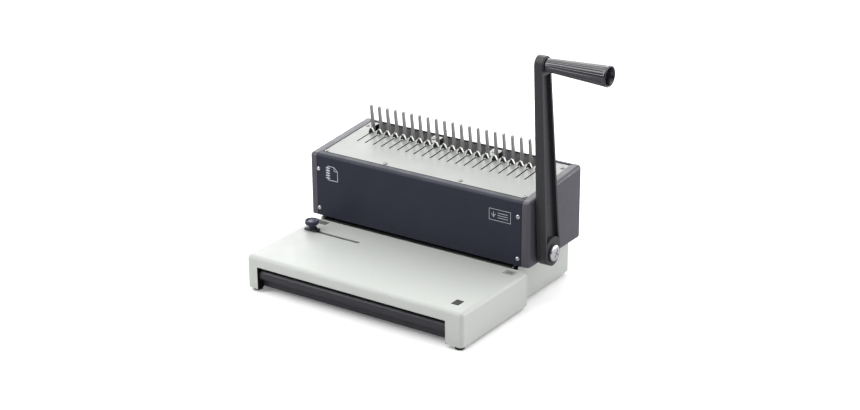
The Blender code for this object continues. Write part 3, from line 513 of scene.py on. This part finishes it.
def screws():
    """The twelve screws, each where its CAD node is and turned a little differently."""
    head = screw_mesh()
    bright = chrome("screw_plating", (214, 214, 216))
    # the screws on the top plate get a darker copy of the same plating: painted shade
    shaded_plating = chrome("plate_screw_shaded_plating", (150, 150, 150))
    nodes = sorted(name for name in frame["nodes"] if "_screw_" in name)
    for index, node in enumerate(nodes):
        low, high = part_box(node)
        on_top = node.startswith("plate")
        space = TOP if on_top else MACHINE
        middle = space.inverted() @ ((low + high) / 2)
        if on_top:
            seat = Matrix.Translation((middle.x, middle.y, PLATE_TOP + 0.2))
        else:
            seat = Matrix.Translation((middle.x, -0.2, middle.z)) @ OUT_OF_PANEL
        bm = head.copy()
        bmesh.ops.transform(bm, matrix=seat @ Matrix.Rotation(0.7 * index, 4, "Z"), verts=bm.verts)
        add_piece(f"{node}_head", bm, space, shaded_plating if on_top else bright, "base", [node])
    head.free()


def pivot_bolt():
    low, high = span("pivot_bolt")
    middle = (low + high) / 2
    face = high.x
    place = Matrix.Translation((0, middle.y, middle.z)) @ ALONG_X
    reach = (high.z - low.z) / 2
    bm = bmesh.new()
    lathe(bm, [(0, face), (4.5, face - 0.05), (7.5, face - 0.25), (9.3, face - 0.6), (10.5, face - 1.15),
               (11.2, face - 1.8), (reach, face - 2.4), (reach, face - 3.0), (reach - 0.3, face - 3.1),
               (3.4, face - 3.1), (3.4, low.x), (0, low.x)], 64, place)
    recess = Matrix.Translation((0, middle.y, middle.z)) @ ALONG_X @ Matrix.Rotation(radians(52), 4, "Z")
    head = carved(bm, cross_cutter(recess, 6.4, 1.7, 2.2, face))
    add_piece("pivot_bolt_head", head, MACHINE, chrome("bolt_plating", (236, 236, 238)), "lever",
              ["pivot_bolt"])


GRIP_FLUTES, FLUTE_DEEP = 18, 0.4


def lever_grip():
    """Hollow grip with fine lengthwise grooves that fade out before both ends."""
    low, high = span("lever_grip")
    middle = (low + high) / 2
    root, end = low.x, high.x
    end_r = (high.z - low.z) / 2
    root_r = end_r * 0.64
    wall, deep = 2.3, 78.0

    def radius(x):
        return root_r + (end_r - root_r) * (x - root) / (end - root)

    def flute(turn, x):
        if not root + 2.5 < x < end - 3.2 or radius(x) > end_r + 0.1:
            return 0.0
        off = abs((turn * GRIP_FLUTES / (2 * pi)) % 1.0 - 0.5) * 2
        return -FLUTE_DEEP * max(0.0, (off - 0.7) / 0.3) ** 0.8 + 0.12 * (1 - off)

    stations = [root + 2.4, root + 3.4] + [root + 8 + (end - root - 14) * i / 8 for i in range(9)]
    outside = [(radius(x), x) for x in stations + [end - 4.2, end - 3.1]]
    inside_r = radius(end - deep) - wall
    rim = [(end_r, end - 2.2), (end_r, end - 0.9), (end_r - 0.4, end - 0.25), (end_r - 1.0, end),
           (end_r - 1.7, end - 0.2), (end_r - wall, end - 0.9)]
    bore = [(inside_r, end - deep), (0, end - deep)]
    profile = [(0, root), (root_r - 1.0, root), (root_r - 0.2, root + 0.5), (root_r, root + 1.4),
               *outside, *rim]
    place = Matrix.Translation((0, middle.y, middle.z)) @ ALONG_X
    bm = bmesh.new()
    lathe(bm, profile + bore, GRIP_FLUTES * 12, place, flute)
    add_piece("fluted_grip", bm, MACHINE, grip_plastic(), "lever", ["lever_grip"],
              angle=50)


def guide_knob():
    """Dished clamp knob with a scalloped rim and a paler cap in its dish."""
    low, high = span("edge_guide_knob")
    middle = (low + high) / 2
    reach = (high.x - low.x) / 2
    foot, top = low.z, high.z

    def scallop(turn, height):
        inside = foot + 7.2 < height < top - 0.6
        return -0.22 * (0.5 + 0.5 * cos(30 * turn)) if inside else 0.0

    profile = [(0, foot + 11.0), (6.4, foot + 11.0), (7.2, foot + 11.3), (8.2, top - 0.2), (8.9, top),
               (9.5, top - 0.1), (reach - 0.1, top - 0.5), (reach, top - 1.1), (reach, foot + 9.0),
               (reach, foot + 7.4), (reach - 0.4, foot + 6.8), (9.2, foot + 6.4), (6.4, foot + 5.7),
               (5.5, foot + 5.1), (5.2, foot + 4.2), (5.2, foot + 2.0), (5.6, foot + 1.4),
               (6.8, foot + 1.1), (7.0, foot + 0.8), (7.0, foot), (0, foot)]
    place = Matrix.Translation((middle.x, middle.y, 0))
    bm = bmesh.new()
    lathe(bm, profile, 120, place, scallop)
    add_piece("guide_knob_body", bm, MACHINE, knob_plastic(), "knob",
              ["edge_guide_knob"])
    bm = bmesh.new()
    lathe(bm, [(0, foot + 11.5), (4.8, foot + 11.45), (5.8, foot + 11.25), (6.1, foot + 11.02),
               (0, foot + 11.02)], 48, place)
    add_piece("guide_knob_cap", bm, MACHINE, knob_cap_plastic(), "knob")


# ---------------------------------------------------------------- added detail

def hook_shade_blocks():
    """Black blocks of painted shade that fill the folded hooks and face their front."""
    along_s = Matrix(((1, 0, 0, 0), (0, 0, 1, 0), (0, 1, 0, 0), (0, 0, 0, 1)))
    bm = bmesh.new()
    for x in COMB_X:
        outline = [(x - 4.1, -0.4), (x + 4.1, -0.4), (x + 0.8, 5.4), (x - 0.8, 5.4)]
        prism(bm, outline, HOOK_FRONT - 0.12, HOOK_FRONT + 2.7, along_s)
    add_piece("hook_shade_blocks", bm, TOP, black_plastic(), "hooks")


def plate_front_shadow_strip():
    """Black strip of painted shadow that closes the gap between the rim and the front of the top plate.
    """
    low, high = span("top_plate")
    left, right = low.x + 0.3, high.x - 0.3
    front, rear = PLATE_FRONT + 0.1, PLATE_FRONT + 2.5
    bm = bmesh.new()
    prism(bm, [(left, front), (right, front), (right, rear), (left, rear)],
          PLATE_TOP - 0.1, PLATE_TOP + 0.15)
    add_piece("plate_front_shadow_strip", bm, TOP, painted_shade_black(), "base")


def trough_lip():
    """Folded edge of the rear panel along the back of the comb trough, in the lighter cap plastic instead
    of the panel's powder coat: a painted highlight along the edge.
    """
    front, rear = TROUGH_REAR - 0.6, TROUGH_REAR + 0.6
    bm = bmesh.new()
    prism(bm, [(front, -0.9), (rear, -0.9), (rear, -0.1), (front, -0.1)], -TROUGH_HALF, TROUGH_HALF,
          ALONG_X)
    add_piece("trough_lip", bm, TOP, cap_plastic(), "base")


def inlay_details():
    low, high = span("scale_inlay_left")
    bm = bmesh.new()
    count = 6
    pitch = (high.x - low.x - 2.0) / count
    for i in range(count):
        x = low.x + 1.0 + pitch * (i + 0.25)
        prism(bm, [(x, low.y + 1.0), (x + pitch * 0.5, low.y + 1.0), (x + pitch * 0.5, high.y - 1.0),
                   (x, high.y - 1.0)], high.z - 0.1, high.z + 0.12)
    add_piece("inlay_ribs", bm, MACHINE, inlay_plastic("inlay_rib_grey", srgb(112, 112, 108)), "base")
    low, high = span("scale_inlay_right")
    bm = bmesh.new()
    prism(bm, rounded(low.x + 3.4, low.y + 3.0, high.x - 2.6, high.y - 3.4, 0.6), high.z - 0.1,
          high.z + 0.06)
    add_piece("inlay_window", bm, MACHINE, inlay_plastic("inlay_window_grey", srgb(118, 119, 117)),
              "base")


def button_ridges():
    low, high = span("tray_release_button")
    middle = (low + high) / 2
    bm = bmesh.new()
    for i in (-1, 0, 1):
        y = middle.y + 2.4 * i
        prism(bm, rounded(middle.x - 2.6, y - 0.45, middle.x + 2.6, y + 0.45, 0.4), high.z - 0.2,
              high.z + 0.25)
    add_piece("release_button_ridges", bm, MACHINE,
              inlay_plastic("ridge_grey", srgb(62, 62, 66)), "release", edge=0.12)


def stroke(bm, points, width, closed=False):
    """Line of the given width, drawn in print on the front panel."""
    count = len(points)
    for i in range(count if closed else count - 1):
        a, b = Vector(points[i]), Vector(points[(i + 1) % count])
        along = (b - a).normalized() * width / 2
        side = Vector((-along.y, along.x))
        ends = [a - along + side, a - along - side, b + along - side, b + along + side]
        prism(bm, [tuple(v) for v in ends], 0.02, 0.05 + 0.002 * i, OUT_OF_PANEL)


def panel_print():
    """Plain pictograms: a bound sheet on the left, a stack under the punch on the right."""
    bm = bmesh.new()
    u, v = -140.8, 127.0
    stroke(bm, [(u - 8.5, v - 10.5), (u + 8.5, v - 10.5), (u + 8.5, v + 4.5), (u + 2.5, v + 10.5),
                (u - 8.5, v + 10.5)], 0.8, closed=True)
    stroke(bm, [(u + 2.5, v + 10.2), (u + 2.5, v + 4.5), (u + 8.2, v + 4.5)], 0.6)
    for i in range(5):
        z = v - 7.6 + 3.8 * i
        stroke(bm, [(u - 11.4, z), (u - 5.6, z)], 1.5)
    add_piece("print_bound_sheet", bm, MACHINE, print_ink(), "base")
    bm = bmesh.new()
    left, right, low, high = 125.7, 160.0, 117.6, 133.8
    stroke(bm, [(left, low), (right, low), (right, high), (left, high)], 0.5, closed=True)
    for i in range(3):
        stroke(bm, [(left + 14.0, low + 4.6 + 3.4 * i), (right - 4.5, low + 4.6 + 3.4 * i)], 0.6)
    stroke(bm, [(left + 4.0, low + 9.4), (left + 7.0, low + 4.6), (left + 10.0, low + 9.4)], 0.6)
    stroke(bm, [(left + 7.0, low + 5.0), (left + 7.0, low + 12.6)], 0.6)
    add_piece("print_punch_stack", bm, MACHINE, print_ink(), "base")


# ---------------------------------------------------------------- camera, light, floor

CAMERA_PLACE = (1387.66, -1992.08, 1081.86)
CAMERA_TURN = (1.1900, 0.0059, 0.5965)
CAMERA_LENS = 78.11
WORLD_FRONT, WORLD_BACK = 0.12, 1.5
WORLD_BRIGHT_SIDE = (0.0, 1.0, 0.9)      # the room brightens towards the rear and upwards
FLOOR_REFLECTED, FLOOR_GLOW = (165, 165, 168), 0.16
FLOOR_HALF = 15.0
HOUSING, LEFT_ARM, GRIP = (0.0, 0.0, 0.08), (-0.2, -0.05, 0.08), (0.19, 0.03, 0.35)   # aims, metres


def camera():
    data = bpy.data.cameras.new("camera")
    data.lens = CAMERA_LENS
    data.sensor_width = 36.0
    made = bpy.data.objects.new("camera", data)
    made.location = MACHINE @ Vector(CAMERA_PLACE)
    made.rotation_euler = CAMERA_TURN
    bpy.context.scene.collection.objects.link(made)
    bpy.context.scene.camera = made


def add_light(name, kind, place, target=HOUSING, **settings):
    data = bpy.data.lights.new(name, kind)
    for key, value in settings.items():
        setattr(data, key, value)
    made = bpy.data.objects.new(name, data)
    made.location = place
    made.rotation_euler = (Vector(target) - Vector(place)).to_track_quat("-Z", "Y").to_euler()
    bpy.context.scene.collection.objects.link(made)


def softbox(name, place, width, height, watts, target=HOUSING):
    add_light(name, "AREA", place, target, shape="RECTANGLE", size=width, size_y=height, energy=watts)


def studio_world():
    """White room, dark in front and bright overhead and behind the machine."""
    world = bpy.data.worlds.new("studio_world")
    bpy.context.scene.world = world
    world.use_nodes = True
    nodes, links = world.node_tree.nodes, world.node_tree.links
    towards = nodes.new("ShaderNodeVectorMath")
    towards.operation = "DOT_PRODUCT"
    towards.inputs[1].default_value = WORLD_BRIGHT_SIDE
    links.new(nodes.new("ShaderNodeTexCoord").outputs["Generated"], towards.inputs[0])
    bright = nodes.new("ShaderNodeMapRange")
    bright.inputs["From Min"].default_value = -0.4
    bright.inputs["From Max"].default_value = 0.9
    bright.inputs["To Min"].default_value = WORLD_FRONT
    bright.inputs["To Max"].default_value = WORLD_BACK
    links.new(towards.outputs["Value"], bright.inputs["Value"])
    background = nodes["Background"]
    background.inputs["Color"].default_value = (1.0, 1.0, 1.0, 1.0)
    links.new(bright.outputs["Result"], background.inputs["Strength"])


def studio():
    studio_world()
    add_light("overhead_skylight", "SUN", (-0.08, 0.2, 2.0), energy=0.3, angle=radians(50))
    softbox("grip_softbox", (-0.75, -0.8, 1.6), 0.6, 2.0, 16.0, GRIP)
    softbox("rim_softbox", (-1.3, 1.65, 1.5), 1.5, 1.5, 15.0)
    softbox("left_softbox", (-1.0, -1.0, 0.6), 0.6, 0.6, 3.0, LEFT_ARM)
    softbox("right_rear_softbox", (1.5, 2.1, 0.5), 1.6, 0.9, 18.0)
    bm = bmesh.new()
    bmesh.ops.create_grid(bm, x_segments=1, y_segments=1, size=FLOOR_HALF)
    mesh = bpy.data.meshes.new("studio_floor")
    bm.to_mesh(mesh)
    bm.free()
    mesh.materials.append(floor_paper())
    floor = bpy.data.objects.new("studio_floor", mesh)
    bpy.context.scene.collection.objects.link(floor)
    bpy.context.scene.view_settings.view_transform = "Standard"


dress_cad_nodes()
screws()
pivot_bolt()
lever_grip()
guide_knob()
hook_shade_blocks()
plate_front_shadow_strip()
trough_lip()
inlay_details()
button_ridges()
panel_print()
camera()
studio()
